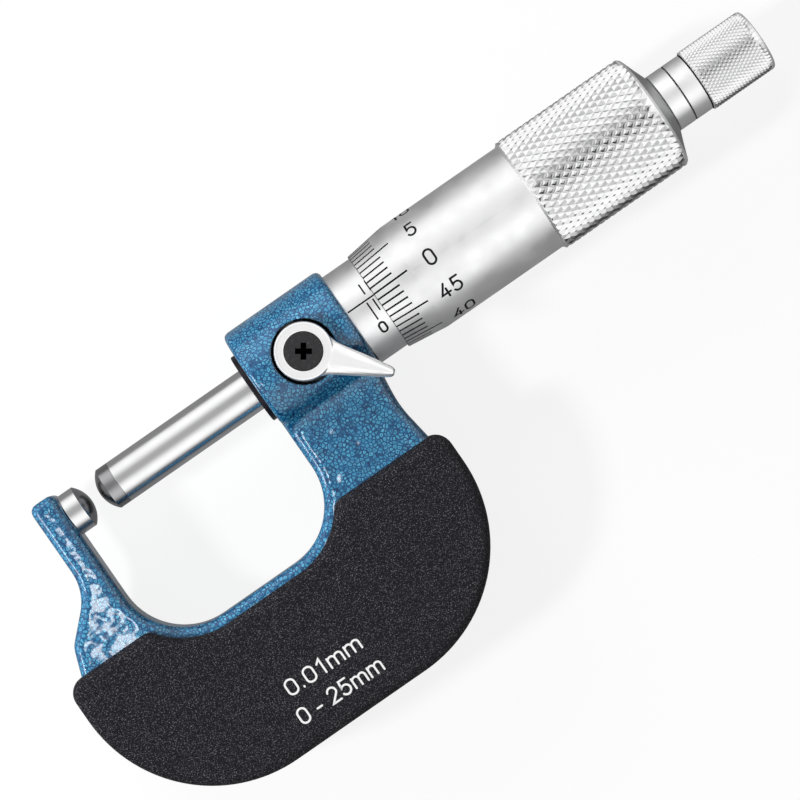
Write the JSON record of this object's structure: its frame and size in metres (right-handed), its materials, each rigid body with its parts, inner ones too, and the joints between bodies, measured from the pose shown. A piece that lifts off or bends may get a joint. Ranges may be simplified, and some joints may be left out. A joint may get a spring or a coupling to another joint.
{
  "type": "tube micrometer",
  "caption": "Outside micrometer with ball faces on anvil and spindle for tube walls, with a bow frame, grip plates, spindle lock and ratchet stop.",
  "frame": {"origin": "on the spindle's axis, where the anvil leaves the lug", "axes": "+X along the spindle from anvil to ratchet, +Y away from the bow, +Z out of the lock lever's side"},
  "size_m": [0.1334, 0.0559, 0.0194],
  "materials": {
    "frame_enamel": "blue hammertone enamel",
    "grip_plastic": "fine-grained black moulding",
    "ground_steel": "ground bright",
    "carbide": "lapped, darker grey",
    "satin_chrome": "satin chrome plated",
    "knurled_chrome": "satin chrome plated, knurled",
    "bright_steel": "turned",
    "lever_metal": "satin nickel casting",
    "black_steel": "black oxide",
    "lock_brass": "turned",
    "spring_steel": "drawn wire"
  },
  "bodies": {
    "body": {"frame": "frame_enamel", "front_plate": "grip_plastic", "back_plate": "grip_plastic", "anvil": "ground_steel", "anvil_tip": "carbide", "spindle_bush": "black_steel", "inner_sleeve": "bright_steel", "adjusting_nut": "bright_steel", "sleeve": "satin_chrome", "lock_bush": "bright_steel"},
    "tip": {"spindle_tip": "carbide"},
    "spindle_unit": {"spindle": "ground_steel", "thimble": "knurled_chrome", "ratchet_base": "satin_chrome", "ratchet_screw": "bright_steel"},
    "knob": {"ratchet_knob": "knurled_chrome", "ratchet_spring": "spring_steel"},
    "pawl": {"ratchet_pawl": "bright_steel"},
    "pad": {"lock_pad": "lock_brass"},
    "lever": {"lock_stem": "bright_steel", "lock_lever": "lever_metal", "lever_screw": "black_steel"}
  },
  "joints": [
    {"name": "spindle_travel", "type": "slide", "parent": "body", "child": "tip", "axis": [1, 0, 0], "range_m": [-0.0015, 0.0235]},
    {"name": "thimble_turn", "type": "hinge", "parent": "tip", "child": "spindle_unit", "pos_m": [0.0103, 0, 0], "axis": [1, 0, 0], "range_deg": [-1081, 16921]},
    {"name": "ratchet_turn", "type": "hinge", "parent": "spindle_unit", "child": "knob", "pos_m": [0.1123, 0, 0], "axis": [1, 0, 0], "continuous": true},
    {"name": "pawl_hop", "type": "slide", "parent": "knob", "child": "pawl", "axis": [1, 0, 0], "range_m": [0, 0.00045], "stiffness_N_per_m": 2000, "springref_m": -0.001, "deforming": ["ratchet_spring"]},
    {"name": "lock_travel", "type": "slide", "parent": "body", "child": "pad", "axis": [0, 0, 1], "range_m": [-0.0001333, 0]},
    {"name": "lock_turn", "type": "hinge", "parent": "pad", "child": "lever", "pos_m": [0.0409, 0, 0.0076], "axis": [0, 0, 1], "range_deg": [-60, 0]}
  ],
  "couplings": [
    {"joint": "thimble_turn", "follows": "spindle_travel", "rad_per_m": 12566},
    {"joint": "lock_turn", "follows": "lock_travel", "rad_per_m": 7854}
  ]
}
